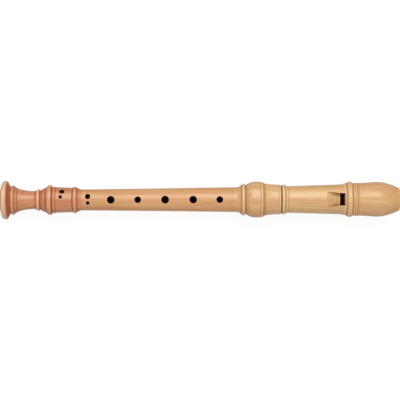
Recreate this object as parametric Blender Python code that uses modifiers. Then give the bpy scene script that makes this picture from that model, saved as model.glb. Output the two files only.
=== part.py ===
"""A soprano recorder in three joints: foot, middle joint and head, with its block and tenon corks.

It lies along X as on a table, with the beak at +X, the window and finger holes facing up (+Z)
and the widest part of the bell on the ground. Places along the instrument are measured from the
bell's end, and heights from the axis, until an object is placed.
"""

import math

import bmesh
import bpy
from mathutils import Matrix

MM = 0.001

# Faceting
SIDES = 32
HOLE_SIDES = 20
ARCH_STEPS = 10
RAMP_SECTIONS = 6
BEAK_CUT_SIDES = 96
SHARP_ANGLE = 40.0
MERGE_DISTANCE = 0.01 * MM

# Clearances
SEAM_GAP = 0.3 * MM
CORK_GAP = 0.3 * MM
BLOCK_GAP = 0.3 * MM
SOCKET_END_GAP = 0.5 * MM
TENON_PLAY = 0.35 * MM
CUT_MARGIN = 2.0 * MM

# Bore
BELL_BORE = 9.8 * MM
FOOT_BORE_TOP = 10.2 * MM
MIDDLE_BORE_LOW = 10.6 * MM
MIDDLE_BORE_HIGH = 13.0 * MM
HEAD_BORE = 13.8 * MM

# Tenons, corks and sockets, each built outwards from the bore
LOWER_TENON_WALL = 0.95 * MM
LOWER_CORK_THICKNESS = 0.7 * MM
LOWER_SOCKET_WALL = 1.2 * MM
LOWER_TENON_LENGTH = 11.5 * MM
LOWER_CORK_WIDTH = 7.5 * MM
LOWER_CORK_FROM_SHOULDER = 2.2 * MM
UPPER_TENON_WALL = 1.3 * MM
UPPER_CORK_THICKNESS = 0.9 * MM
UPPER_SOCKET_WALL = 1.05 * MM
UPPER_TENON_LENGTH = 19.5 * MM
UPPER_CORK_WIDTH = 12.5 * MM
UPPER_CORK_FROM_SHOULDER = 3.0 * MM
TENON_CHAMFER = 0.5 * MM
CORK_ROUNDING = 0.25 * MM
SOCKET_LIP = 0.15 * MM

# Foot joint, from the bell's end to the socket's mouth
BELL_FACE_WIDTH = 2.1 * MM
BELL_RIM_DIAMETER = 31.6 * MM
BELL_RIM_LENGTH = 5.0 * MM
BELL_BACK_LENGTH = 4.1 * MM
BELL_GROOVE_DIAMETER = 22.9 * MM
BELL_BEAD_LENGTH = 3.5 * MM
BELL_BEAD_HEIGHT = 0.75 * MM
FLARE_TOP_DIAMETER = 21.4 * MM
FLARE_LENGTH = 15.5 * MM
FLARE_POWER = 2.1
NECK_DIAMETER = 14.8 * MM
NECK_RISE_LENGTH = 2.2 * MM
NECK_RISE_DIAMETER = 16.6 * MM
NECK_BEAD_LENGTH = 2.7 * MM
NECK_BEAD_HEIGHT = 0.7 * MM
NECK_GROOVE_DIAMETER = 16.2 * MM
NECK_FILLET_LENGTH = 1.0 * MM
NECK_FILLET_DIAMETER = 17.7 * MM
BAND_RISE_LENGTH = 5.6 * MM
BAND_RISE_POWER = 1.1
BAND_DIAMETER = 24.4 * MM
BAND_LENGTH = 2.7 * MM
BAND_STEP_DIAMETER = 21.8 * MM
BAND_STEP_LENGTH = 1.6 * MM
FINE_BEAD_LENGTH = 1.5 * MM
FINE_BEAD_HEIGHT = 0.4 * MM
BARREL_LOW_DIAMETER = 21.5 * MM
BARREL_HIGH_DIAMETER = 20.4 * MM
BARREL_LENGTH = 13.35 * MM
BARREL_GROOVE_DIAMETER = 20.0 * MM
BARREL_GROOVE_LENGTH = 0.6 * MM
COLLAR_BEAD_LENGTH = 3.9 * MM
COLLAR_BEAD_HEIGHT = 0.85 * MM
COLLAR_DIAMETER = 20.2 * MM
FOOT_MOUTH_TAPER_LENGTH = 3.3 * MM

# The little finger's double hole, in the foot
LITTLE_HOLE_FROM_SOCKET = 3.4 * MM
LITTLE_HOLE_DIAMETER = 3.9 * MM
LITTLE_HOLE_TURN = 40.0
LITTLE_SMALL_HOLE_SKEW = 0.8 * MM
LITTLE_SMALL_HOLE_DIAMETER = 2.5 * MM
LITTLE_SMALL_HOLE_TURN = 13.5

# Middle joint: the distances from one finger hole to the next, from the lower shoulder up
HOLE_6_FROM_SHOULDER = 5.7 * MM
HOLE_6_TO_5 = 18.8 * MM
HOLE_5_TO_4 = 22.0 * MM
HOLE_4_TO_3 = 22.1 * MM
HOLE_3_TO_2 = 23.1 * MM
HOLE_2_TO_1 = 21.5 * MM
HOLE_1_TO_THUMB = 7.0 * MM
THUMB_TO_SHOULDER = 7.4 * MM
HOLE_6_DIAMETER = 3.8 * MM
HOLE_6_TURN = 17.0
HOLE_6_SMALL_DIAMETER = 2.4 * MM
HOLE_6_SMALL_TURN = -16.0
HOLE_5_DIAMETER = 5.5 * MM
HOLE_4_DIAMETER = 4.5 * MM
HOLE_3_DIAMETER = 5.7 * MM
HOLE_2_DIAMETER = 5.4 * MM
HOLE_1_DIAMETER = 4.7 * MM
THUMB_HOLE_DIAMETER = 5.2 * MM
MIDDLE_RINGS = 6

# Head joint, from the socket's mouth to the tip of the beak
MOUTH_FLARE_LENGTH = 2.9 * MM
MOUTH_FLARE_DIAMETER = 24.6 * MM
MOUTH_FLARE_POWER = 1.6
MOUTH_BEAD_LENGTH = 2.8 * MM
MOUTH_BEAD_HEIGHT = 0.6 * MM
MOUTH_GROOVE_LENGTH = 0.6 * MM
MOUTH_GROOVE_DIAMETER = 24.3 * MM
BULB_RISE_LENGTH = 8.2 * MM
BULB_RISE_POWER = 2.2
BULB_DIAMETER = 29.3 * MM
BULB_FALL_LENGTH = 6.6 * MM
BULB_FALL_POWER = 1.6
BULB_EDGE_DIAMETER = 27.8 * MM
COVE_TOP_DIAMETER = 26.5 * MM
COVE_LENGTH = 12.25 * MM
COVE_POWER = 1.6
COVE_END_DIAMETER = 24.0 * MM
RIDGE_LENGTH = 1.3 * MM
RIDGE_HEIGHT = 0.35 * MM
RIDGE_GROOVE_DIAMETER = 23.2 * MM
RIDGE_GROOVE_LENGTH = 0.9 * MM
BODY_BEAD_LENGTH = 2.1 * MM
BODY_BEAD_HEIGHT = 0.62 * MM
BODY_FILLET_DIAMETER = 23.9 * MM
BODY_FILLET_LENGTH = 3.25 * MM
BODY_FILLET_POWER = 1.5
BODY_LOW_DIAMETER = 22.0 * MM
BODY_HIGH_DIAMETER = 24.2 * MM
BODY_LENGTH = 40.3 * MM
RING_RISE_LENGTH = 6.3 * MM
RING_RISE_POWER = 2.4
RING_RISE_DIAMETER = 26.2 * MM
RING_LEDGE_LENGTH = 0.9 * MM
RING_LEDGE_DIAMETER = 26.5 * MM
RING_BEAD_LENGTH = 5.0 * MM
RING_BEAD_HEIGHT = 1.05 * MM
RING_END_DIAMETER = 27.0 * MM
RING_NECK_LENGTH = 2.6 * MM
BEAK_RIDGE_LENGTH = 0.9 * MM
BEAK_RIDGE_HEIGHT = 0.3 * MM
BEAK_GROOVE_LENGTH = 0.6 * MM
BEAK_GROOVE_DIAMETER = 26.6 * MM
BEAK_BEAD_LENGTH = 1.2 * MM
BEAK_BEAD_HEIGHT = 0.2 * MM
BEAK_START_DIAMETER = 26.8 * MM
BEAK_SWELL_LENGTH = 16.1 * MM
BEAK_DIAMETER = 28.3 * MM
BEAK_FALL_LENGTH = 17.3 * MM
BEAK_FALL_POWER = 2.0
BEAK_TIP_WALL = 1.2 * MM

# Windway, window and labium
WINDOW_WIDTH = 10.1 * MM
CUT_UP = 4.0 * MM
WINDOW_FROM_LEDGE = 0.4 * MM
EDGE_THICKNESS = 0.35 * MM
RAMP_SIDE_STEP = 0.08 * MM
RAMP_LENGTH = 10.6 * MM
RAMP_START_WIDTH = 12.4 * MM
RAMP_START_ARCH = 45.0 * MM
RAMP_OVERRUN = 0.2
WINDWAY_EXIT_WIDTH = 9.9 * MM
WINDWAY_ENTRY_WIDTH = 11.4 * MM
WINDWAY_RISE_EXIT = 0.5 * MM
WINDWAY_RISE_ENTRY = 0.9 * MM
WINDWAY_FLOOR_DROP = 0.15 * MM

# The hollow cut under the beak
BEAK_CUT_LENGTH = 33.0 * MM
BEAK_CUT_RADIUS = 60.0 * MM
BEAK_TIP_BELOW_AXIS = 1.0 * MM

# Radii that the fits give, from the bore outwards
LOWER_GROOVE_RADIUS = MIDDLE_BORE_LOW / 2 + LOWER_TENON_WALL
LOWER_CORK_RADIUS = LOWER_GROOVE_RADIUS + CORK_GAP + LOWER_CORK_THICKNESS
LOWER_SOCKET_RADIUS = LOWER_CORK_RADIUS + CORK_GAP
LOWER_TENON_RADIUS = LOWER_SOCKET_RADIUS - TENON_PLAY
FOOT_MOUTH_RADIUS = LOWER_SOCKET_RADIUS + LOWER_SOCKET_WALL
UPPER_GROOVE_RADIUS = MIDDLE_BORE_HIGH / 2 + UPPER_TENON_WALL
UPPER_CORK_RADIUS = UPPER_GROOVE_RADIUS + CORK_GAP + UPPER_CORK_THICKNESS
UPPER_SOCKET_RADIUS = UPPER_CORK_RADIUS + CORK_GAP
UPPER_TENON_RADIUS = UPPER_SOCKET_RADIUS - TENON_PLAY
HEAD_MOUTH_RADIUS = UPPER_SOCKET_RADIUS + UPPER_SOCKET_WALL
BLOCK_RADIUS = HEAD_BORE / 2 - BLOCK_GAP
TIP_RADIUS = HEAD_BORE / 2 + WINDWAY_RISE_ENTRY + BEAK_TIP_WALL

# The bell stands on one facet of its rim, which lies this far below the axis
AXIS_HEIGHT = BELL_RIM_DIAMETER / 2 * math.cos(math.pi / SIDES)

# Linear colours of the woods
FOOT_COLOUR = (0.56, 0.24, 0.12)
MIDDLE_COLOUR = (0.66, 0.37, 0.17)
HEAD_COLOUR = (0.71, 0.45, 0.22)
BLOCK_COLOUR = (0.47, 0.21, 0.11)
CORK_COLOUR = (0.45, 0.28, 0.14)
OILED_ROUGHNESS = 0.42
CEDAR_ROUGHNESS = 0.7
CORK_ROUGHNESS = 0.85


def round_over(t):
    """A quarter of an ellipse that starts square to the axis and ends along it."""
    return 1 - math.cos(t * math.pi / 2), math.sin(t * math.pi / 2)


def ogee(t):
    """An S that starts and ends along the axis."""
    return t, (1 - math.cos(t * math.pi)) / 2


def settling(power):
    """A curve that starts steep and ends along the axis."""
    return lambda t: (t, 1 - (1 - t) ** power)


def leaving(power):
    """A curve that starts along the axis and ends steep."""
    return lambda t: (t, t**power)


class Outline:
    """Half of a turned shape, drawn along the axis as a turner would size it."""

    def __init__(self, x, radius):
        self.points = [(x, radius)]

    @property
    def x(self):
        return self.points[-1][0]

    def face(self, radius):
        """A face square to the axis."""
        self.points.append((self.x, radius))

    def line(self, length, radius, steps=1):
        """A cylinder or cone."""
        self.curve(length, radius, lambda t: (t, t), steps)

    def curve(self, length, radius, shape, steps=6):
        """A hollow or swelling whose shape gives the shares of length and radius covered."""
        x, start = self.points[-1]
        for step in range(1, steps + 1):
            along, rise = shape(step / steps)
            self.points.append((x + length * along, start + (radius - start) * rise))

    def bead(self, length, height, radius, steps=5):
        """A half-round bead standing on the line from here to the new radius."""
        x, start = self.points[-1]
        for step in range(1, steps + 1):
            angle = math.pi * step / steps
            along = (1 - math.cos(angle)) / 2
            base = start + (radius - start) * along
            self.points.append((x + length * along, base + height * math.sin(angle)))

    def radius_at(self, x):
        """The radius where the outline passes x."""
        for (x0, r0), (x1, r1) in zip(self.points, self.points[1:]):
            if x0 <= x < x1:
                return r0 + (r1 - r0) * (x - x0) / (x1 - x0)
        return self.points[-1][1]


def clear_scene():
    for obj in list(bpy.data.objects):
        bpy.data.objects.remove(obj, do_unlink=True)


def new_collection(name):
    collection = bpy.data.collections.new(name)
    bpy.context.scene.collection.children.link(collection)
    return collection


def new_material(name, colour, roughness):
    material = bpy.data.materials.new(name)
    material.use_nodes = True
    shader = material.node_tree.nodes["Principled BSDF"]
    shader.inputs["Base Color"].default_value = (*colour, 1.0)
    shader.inputs["Roughness"].default_value = roughness
    shader.inputs["Metallic"].default_value = 0.0
    return material


def new_object(name, mesh, collection):
    obj = bpy.data.objects.new(name, mesh)
    obj.location = (-TOTAL_LENGTH / 2, 0.0, AXIS_HEIGHT)
    collection.objects.link(obj)
    return obj


def turned(name, points, material):
    """A closed outline of (x, radius) points turned about the axis, with a facet facing down.

    The points run towards the beak outside and back along the bore. The turning needs them
    the other way round, for its faces to point outwards.
    """
    start = math.pi / SIDES
    mesh = bpy.data.meshes.new(name)
    vertices = [(x, -r * math.sin(start), r * math.cos(start)) for x, r in reversed(points)]
    count = len(points)
    edges = [(i, (i + 1) % count) for i in range(count)]
    mesh.from_pydata(vertices, edges, [])
    mesh.materials.append(material)
    obj = new_object(name, mesh, PARTS)
    screw = obj.modifiers.new("turning", "SCREW")
    screw.axis = "X"
    screw.steps = SIDES
    screw.render_steps = SIDES
    screw.use_merge_vertices = True
    screw.merge_threshold = MERGE_DISTANCE
    screw.use_smooth_shade = True
    return obj


def as_cutter(obj):
    obj.hide_render = True
    obj.display_type = "WIRE"
    return obj


def cylinder(name, radius, depth, sides):
    """A cylinder about its own Z, centred, with a facet and not an edge towards +X."""
    mesh = bpy.data.meshes.new(name)
    shape = bmesh.new()
    bmesh.ops.create_cone(
        shape,
        cap_ends=True,
        segments=sides,
        radius1=radius,
        radius2=radius,
        depth=depth,
        matrix=Matrix.Rotation(math.pi / sides, 4, "Z"),
    )
    shape.to_mesh(mesh)
    shape.free()
    return mesh


def drill(name, x, diameter, turn, reach):
    """A round cutter from the axis outwards, turned from straight up towards +Y."""
    mesh = cylinder(name, diameter / 2, reach, HOLE_SIDES)
    mesh.transform(Matrix.Translation((0, 0, reach / 2)))
    obj = new_object(name, mesh, CUTTERS)
    obj.location.x += x
    obj.rotation_euler = (-math.radians(turn), 0, 0)
    return as_cutter(obj)


def arch(x, half_width, height, radius):
    """Points across an arch whose crown is at this height above the axis."""
    points = []
    for step in range(ARCH_STEPS + 1):
        y = half_width * (2 * step / ARCH_STEPS - 1)
        drop = radius - math.sqrt(max(radius**2 - y**2, 0.0))
        points.append((x, y, height - drop))
    return points


def channel(name, sections):
    """A cutter lofted through sections, each a lower arch and an upper arch."""
    mesh = bpy.data.meshes.new(name)
    shape = bmesh.new()
    rings = []
    for lower, upper in sections:
        ring = [shape.verts.new(point) for point in lower + upper[::-1]]
        rings.append(ring)
    for near, far in zip(rings, rings[1:]):
        count = len(near)
        for i in range(count):
            j = (i + 1) % count
            shape.faces.new((near[i], near[j], far[j], far[i]))
    shape.faces.new(rings[0])
    shape.faces.new(rings[-1][::-1])
    bmesh.ops.recalc_face_normals(shape, faces=shape.faces)
    shape.to_mesh(mesh)
    shape.free()
    return as_cutter(new_object(name, mesh, CUTTERS))


def cut(obj, cutter):
    modifier = obj.modifiers.new(cutter.name, "BOOLEAN")
    modifier.operation = "DIFFERENCE"
    modifier.solver = "EXACT"
    modifier.object = cutter


def finish(obj):
    """Applies the turning and the cuts, then keeps corners crisp and curves smooth."""
    graph = bpy.context.evaluated_depsgraph_get()
    mesh = bpy.data.meshes.new_from_object(obj.evaluated_get(graph))
    obj.modifiers.clear()
    obj.data = mesh
    mesh.name = obj.name
    mesh.shade_smooth()
    mesh.set_sharp_from_angle(angle=math.radians(SHARP_ANGLE))


def draw_foot():
    outline = Outline(0.0, BELL_BORE / 2 + BELL_FACE_WIDTH)
    outline.curve(BELL_RIM_LENGTH, BELL_RIM_DIAMETER / 2, round_over, 8)
    outline.curve(BELL_BACK_LENGTH, BELL_GROOVE_DIAMETER / 2, ogee)
    outline.bead(BELL_BEAD_LENGTH, BELL_BEAD_HEIGHT, FLARE_TOP_DIAMETER / 2)
    outline.curve(FLARE_LENGTH, NECK_DIAMETER / 2, settling(FLARE_POWER), 8)
    outline.line(NECK_RISE_LENGTH, NECK_RISE_DIAMETER / 2)
    outline.bead(NECK_BEAD_LENGTH, NECK_BEAD_HEIGHT, NECK_GROOVE_DIAMETER / 2)
    outline.line(NECK_FILLET_LENGTH, NECK_FILLET_DIAMETER / 2)
    outline.curve(BAND_RISE_LENGTH, BAND_DIAMETER / 2, leaving(BAND_RISE_POWER), 4)
    outline.line(BAND_LENGTH, BAND_DIAMETER / 2)
    outline.face(BAND_STEP_DIAMETER / 2)
    outline.line(BAND_STEP_LENGTH, BAND_STEP_DIAMETER / 2)
    outline.bead(FINE_BEAD_LENGTH, FINE_BEAD_HEIGHT, BARREL_LOW_DIAMETER / 2, 4)
    outline.line(BARREL_LENGTH, BARREL_HIGH_DIAMETER / 2, 3)
    outline.face(BARREL_GROOVE_DIAMETER / 2)
    outline.line(BARREL_GROOVE_LENGTH, BARREL_GROOVE_DIAMETER / 2)
    outline.bead(COLLAR_BEAD_LENGTH, COLLAR_BEAD_HEIGHT, COLLAR_DIAMETER / 2)
    outline.line(FOOT_MOUTH_TAPER_LENGTH, FOOT_MOUTH_RADIUS)
    return outline


def draw_head(mouth):
    """The head's outline, and where its windway opens into the window."""
    outline = Outline(mouth, HEAD_MOUTH_RADIUS)
    outline.curve(
        MOUTH_FLARE_LENGTH, MOUTH_FLARE_DIAMETER / 2, leaving(MOUTH_FLARE_POWER), 4
    )
    outline.bead(MOUTH_BEAD_LENGTH, MOUTH_BEAD_HEIGHT, MOUTH_GROOVE_DIAMETER / 2)
    outline.line(MOUTH_GROOVE_LENGTH, MOUTH_GROOVE_DIAMETER / 2)
    outline.curve(BULB_RISE_LENGTH, BULB_DIAMETER / 2, settling(BULB_RISE_POWER), 7)
    outline.curve(BULB_FALL_LENGTH, BULB_EDGE_DIAMETER / 2, leaving(BULB_FALL_POWER), 5)
    outline.face(COVE_TOP_DIAMETER / 2)
    outline.curve(COVE_LENGTH, COVE_END_DIAMETER / 2, settling(COVE_POWER), 5)
    outline.bead(RIDGE_LENGTH, RIDGE_HEIGHT, RIDGE_GROOVE_DIAMETER / 2, 4)
    outline.line(RIDGE_GROOVE_LENGTH, RIDGE_GROOVE_DIAMETER / 2)
    outline.bead(BODY_BEAD_LENGTH, BODY_BEAD_HEIGHT, BODY_FILLET_DIAMETER / 2)
    outline.curve(BODY_FILLET_LENGTH, BODY_LOW_DIAMETER / 2, settling(BODY_FILLET_POWER), 4)
    outline.line(BODY_LENGTH, BODY_HIGH_DIAMETER / 2, 4)
    outline.curve(RING_RISE_LENGTH, RING_RISE_DIAMETER / 2, leaving(RING_RISE_POWER), 4)
    window_end = outline.x - WINDOW_FROM_LEDGE
    outline.face(RING_LEDGE_DIAMETER / 2)
    outline.line(RING_LEDGE_LENGTH, RING_LEDGE_DIAMETER / 2)
    outline.bead(RING_BEAD_LENGTH, RING_BEAD_HEIGHT, RING_END_DIAMETER / 2, 6)
    outline.line(RING_NECK_LENGTH, RING_END_DIAMETER / 2)
    outline.bead(BEAK_RIDGE_LENGTH, BEAK_RIDGE_HEIGHT, BEAK_GROOVE_DIAMETER / 2, 3)
    outline.line(BEAK_GROOVE_LENGTH, BEAK_GROOVE_DIAMETER / 2)
    outline.bead(BEAK_BEAD_LENGTH, BEAK_BEAD_HEIGHT, BEAK_START_DIAMETER / 2, 3)
    outline.curve(BEAK_SWELL_LENGTH, BEAK_DIAMETER / 2, ogee)
    outline.curve(BEAK_FALL_LENGTH, TIP_RADIUS, leaving(BEAK_FALL_POWER), 8)
    return outline, window_end


def make_foot():
    socket_bottom = FOOT_OUTLINE.x - LOWER_SOCKET_DEPTH
    bore = [
        (FOOT_OUTLINE.x, LOWER_SOCKET_RADIUS),
        (socket_bottom, LOWER_SOCKET_RADIUS),
        (socket_bottom, FOOT_BORE_TOP / 2),
        (0.0, BELL_BORE / 2),
    ]
    foot = turned("foot_joint", FOOT_OUTLINE.points + bore, FOOT_WOOD)
    large = socket_bottom - LITTLE_HOLE_FROM_SOCKET
    small = large - LITTLE_SMALL_HOLE_SKEW
    reach = BAND_DIAMETER / 2 + CUT_MARGIN
    cut(foot, drill("little_hole", large, LITTLE_HOLE_DIAMETER, LITTLE_HOLE_TURN, reach))
    cut(
        foot,
        drill(
            "little_hole_small",
            small,
            LITTLE_SMALL_HOLE_DIAMETER,
            LITTLE_SMALL_HOLE_TURN,
            reach,
        ),
    )
    return foot


def draw_tenon(outline, length, radius, groove_radius, groove_from_shoulder, groove_width):
    """A tenon from its shoulder outwards, with the groove that holds its cork."""
    outline.face(radius)
    outline.line(groove_from_shoulder, radius)
    outline.face(groove_radius)
    outline.line(groove_width, groove_radius)
    outline.face(radius)
    rest = length - groove_from_shoulder - groove_width - TENON_CHAMFER
    outline.line(rest, radius)
    outline.line(TENON_CHAMFER, radius - TENON_CHAMFER)


def make_middle():
    lower = Outline(0.0, FOOT_MOUTH_RADIUS - SOCKET_LIP)
    draw_tenon(
        lower,
        LOWER_TENON_LENGTH,
        LOWER_TENON_RADIUS,
        LOWER_GROOVE_RADIUS,
        LOWER_CORK_FROM_SHOULDER,
        LOWER_CORK_WIDTH,
    )
    upper = Outline(LOWER_SHOULDER, FOOT_MOUTH_RADIUS - SOCKET_LIP)
    upper.line(MIDDLE_LENGTH, HEAD_MOUTH_RADIUS - SOCKET_LIP, MIDDLE_RINGS)
    draw_tenon(
        upper,
        UPPER_TENON_LENGTH,
        UPPER_TENON_RADIUS,
        UPPER_GROOVE_RADIUS,
        UPPER_CORK_FROM_SHOULDER,
        UPPER_CORK_WIDTH,
    )
    lower_points = [(LOWER_SHOULDER - x, r) for x, r in reversed(lower.points[1:])]
    bore = [
        (upper.x, MIDDLE_BORE_HIGH / 2),
        (UPPER_SHOULDER, MIDDLE_BORE_HIGH / 2),
        (LOWER_SHOULDER, MIDDLE_BORE_LOW / 2),
        (LOWER_SHOULDER - LOWER_TENON_LENGTH, MIDDLE_BORE_LOW / 2),
    ]
    middle = turned("middle_joint", lower_points + upper.points + bore, MIDDLE_WOOD)
    reach = HEAD_MOUTH_RADIUS + CUT_MARGIN
    x = LOWER_SHOULDER + HOLE_6_FROM_SHOULDER
    cut(middle, drill("hole_6", x, HOLE_6_DIAMETER, HOLE_6_TURN, reach))
    cut(middle, drill("hole_6_small", x, HOLE_6_SMALL_DIAMETER, HOLE_6_SMALL_TURN, reach))
    holes = (
        ("hole_5", HOLE_6_TO_5, HOLE_5_DIAMETER, 0.0),
        ("hole_4", HOLE_5_TO_4, HOLE_4_DIAMETER, 0.0),
        ("hole_3", HOLE_4_TO_3, HOLE_3_DIAMETER, 0.0),
        ("hole_2", HOLE_3_TO_2, HOLE_2_DIAMETER, 0.0),
        ("hole_1", HOLE_2_TO_1, HOLE_1_DIAMETER, 0.0),
        ("thumb_hole", HOLE_1_TO_THUMB, THUMB_HOLE_DIAMETER, 180.0),
    )
    for name, spacing, diameter, turn in holes:
        x += spacing
        cut(middle, drill(name, x, diameter, turn, reach))
    return middle


def make_cork(name, start, width, groove_radius, cork_radius):
    """A cork ring that lies in its groove, with a clearance all round."""
    first = start + CORK_GAP
    last = start + width - CORK_GAP
    inner = groove_radius + CORK_GAP
    edge = cork_radius - CORK_ROUNDING
    points = [
        (first, inner),
        (first, edge),
        (first + CORK_ROUNDING, cork_radius),
        (last - CORK_ROUNDING, cork_radius),
        (last, edge),
        (last, inner),
    ]
    return turned(name, points, CORK)


def ramp_cutter(edge):
    """The slope that thins the wall down to the labium's edge."""
    start = edge - RAMP_LENGTH
    start_height = HEAD_OUTLINE.radius_at(start)
    edge_radius = HEAD_BORE / 2 + EDGE_THICKNESS
    top = BULB_DIAMETER / 2 + CUT_MARGIN
    low_edge = arch(edge, WINDOW_WIDTH / 2 + RAMP_SIDE_STEP, edge_radius, edge_radius)
    low_start = arch(start, RAMP_START_WIDTH / 2, start_height, RAMP_START_ARCH)
    sections = []
    for step in range(RAMP_SECTIONS + 1):
        share = (1 + 2 * RAMP_OVERRUN) * step / RAMP_SECTIONS - RAMP_OVERRUN
        lower = []
        for (xa, ya, za), (xb, yb, zb) in zip(low_edge, low_start):
            lower.append(
                (xa + (xb - xa) * share, ya + (yb - ya) * share, za + (zb - za) * share)
            )
        upper = [(x, y, top) for x, y, _ in lower]
        sections.append((lower, upper))
    return channel("labium_ramp", sections)


def window_cutter(edge, window_end):
    top = BULB_DIAMETER / 2 + CUT_MARGIN
    half = WINDOW_WIDTH / 2
    sections = []
    for x in (edge, window_end):
        lower = [(x, -half, 0.0), (x, half, 0.0)]
        upper = [(x, -half, top), (x, half, top)]
        sections.append((lower, upper))
    return channel("window", sections)


def windway_sections(window_end, low_radii, high_radii):
    """Sections in the window and past the tip, each between two arches about the axis."""
    ends = (window_end - CUT_UP / 2, TOTAL_LENGTH + CUT_MARGIN)
    widths = (WINDWAY_EXIT_WIDTH, WINDWAY_ENTRY_WIDTH)
    sections = []
    for x, width, low, high in zip(ends, widths, low_radii, high_radii):
        lower = arch(x, width / 2, low, low)
        upper = arch(x, width / 2, high, high)
        sections.append((lower, upper))
    return sections


def beak_cutter():
    """A wide cylinder across the instrument that hollows the underside of the beak."""
    tip = (TOTAL_LENGTH, -BEAK_TIP_BELOW_AXIS)
    start_x = TOTAL_LENGTH - BEAK_CUT_LENGTH
    start = (start_x, -HEAD_OUTLINE.radius_at(start_x))
    dx = tip[0] - start[0]
    dz = tip[1] - start[1]
    chord = math.hypot(dx, dz)
    reach = math.sqrt(BEAK_CUT_RADIUS**2 - chord**2 / 4)
    centre_x = (tip[0] + start[0]) / 2 + reach * dz / chord
    centre_z = (tip[1] + start[1]) / 2 - reach * dx / chord
    width = BEAK_DIAMETER + 2 * CUT_MARGIN
    mesh = cylinder("beak_hollow", BEAK_CUT_RADIUS, width, BEAK_CUT_SIDES)
    obj = new_object("beak_hollow", mesh, CUTTERS)
    obj.location.x += centre_x
    obj.location.z += centre_z
    obj.rotation_euler = (math.pi / 2, 0, 0)
    return as_cutter(obj)


def make_head(window_end, beak_hollow):
    mouth = HEAD_OUTLINE.points[0][0]
    socket_bottom = mouth + UPPER_SOCKET_DEPTH
    bore = [
        (TOTAL_LENGTH, HEAD_BORE / 2),
        (socket_bottom, HEAD_BORE / 2),
        (socket_bottom, UPPER_SOCKET_RADIUS),
        (mouth, UPPER_SOCKET_RADIUS),
    ]
    head = turned("head_joint", HEAD_OUTLINE.points + bore, HEAD_WOOD)
    edge = window_end - CUT_UP
    low = (BLOCK_RADIUS, BLOCK_RADIUS)
    high = (HEAD_BORE / 2 + WINDWAY_RISE_EXIT, HEAD_BORE / 2 + WINDWAY_RISE_ENTRY)
    cut(head, window_cutter(edge, window_end))
    cut(head, ramp_cutter(edge))
    cut(head, channel("windway_roof", windway_sections(window_end, low, high)))
    cut(head, beak_hollow)
    return head


def make_block(window_end, beak_hollow):
    """The plug of the bore, whose top is the floor of the windway."""
    length = TOTAL_LENGTH - window_end
    mesh = cylinder("block", BLOCK_RADIUS, length, SIDES)
    mesh.materials.append(CEDAR)
    block = new_object("block", mesh, PARTS)
    block.location.x += window_end + length / 2
    block.rotation_euler = (0, math.pi / 2, 0)
    floor_radius = BLOCK_RADIUS - WINDWAY_FLOOR_DROP
    above = BLOCK_RADIUS + CUT_MARGIN
    sections = windway_sections(window_end, (floor_radius, floor_radius), (above, above))
    cut(block, channel("windway_floor", sections))
    cut(block, beak_hollow)
    return block


# Places along the instrument that the lengths give
FOOT_OUTLINE = draw_foot()
LOWER_SOCKET_DEPTH = LOWER_TENON_LENGTH - SEAM_GAP + SOCKET_END_GAP
UPPER_SOCKET_DEPTH = UPPER_TENON_LENGTH - SEAM_GAP + SOCKET_END_GAP
LOWER_SHOULDER = FOOT_OUTLINE.x + SEAM_GAP
MIDDLE_LENGTH = (
    HOLE_6_FROM_SHOULDER
    + HOLE_6_TO_5
    + HOLE_5_TO_4
    + HOLE_4_TO_3
    + HOLE_3_TO_2
    + HOLE_2_TO_1
    + HOLE_1_TO_THUMB
    + THUMB_TO_SHOULDER
)
UPPER_SHOULDER = LOWER_SHOULDER + MIDDLE_LENGTH
HEAD_OUTLINE, WINDOW_END = draw_head(UPPER_SHOULDER + SEAM_GAP)
TOTAL_LENGTH = HEAD_OUTLINE.x

clear_scene()
PARTS = new_collection("soprano_recorder")
CUTTERS = new_collection("cutters")

FOOT_WOOD = new_material("foot_wood", FOOT_COLOUR, OILED_ROUGHNESS)
MIDDLE_WOOD = new_material("middle_wood", MIDDLE_COLOUR, OILED_ROUGHNESS)
HEAD_WOOD = new_material("head_wood", HEAD_COLOUR, OILED_ROUGHNESS)
CEDAR = new_material("block_cedar", BLOCK_COLOUR, CEDAR_ROUGHNESS)
CORK = new_material("tenon_cork", CORK_COLOUR, CORK_ROUGHNESS)

FOOT = make_foot()
MIDDLE = make_middle()
LOWER_CORK = make_cork(
    "lower_tenon_cork",
    LOWER_SHOULDER - LOWER_CORK_FROM_SHOULDER - LOWER_CORK_WIDTH,
    LOWER_CORK_WIDTH,
    LOWER_GROOVE_RADIUS,
    LOWER_CORK_RADIUS,
)
UPPER_CORK = make_cork(
    "upper_tenon_cork",
    UPPER_SHOULDER + UPPER_CORK_FROM_SHOULDER,
    UPPER_CORK_WIDTH,
    UPPER_GROOVE_RADIUS,
    UPPER_CORK_RADIUS,
)
BEAK_HOLLOW = beak_cutter()
HEAD = make_head(WINDOW_END, BEAK_HOLLOW)
BLOCK = make_block(WINDOW_END, BEAK_HOLLOW)
for piece in (FOOT, MIDDLE, LOWER_CORK, UPPER_CORK, HEAD, BLOCK):
    finish(piece)

print(f"overall length {TOTAL_LENGTH / MM:.1f} mm, axis {AXIS_HEIGHT / MM:.2f} mm up")
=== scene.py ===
# %% [markdown]
# # A soprano recorder on a white table
#
# A recorder is turned from three lengths of fruitwood, which fit into each other with cork-lapped
# tenons. The frame that is loaded here holds its plain parts and the way they move. Each step
# below dresses one of them in finer turned wood, with grain, worn edges and oil-dark bores, and
# the last steps set up a small studio round it.

# %% Load the frame
import math

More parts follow.
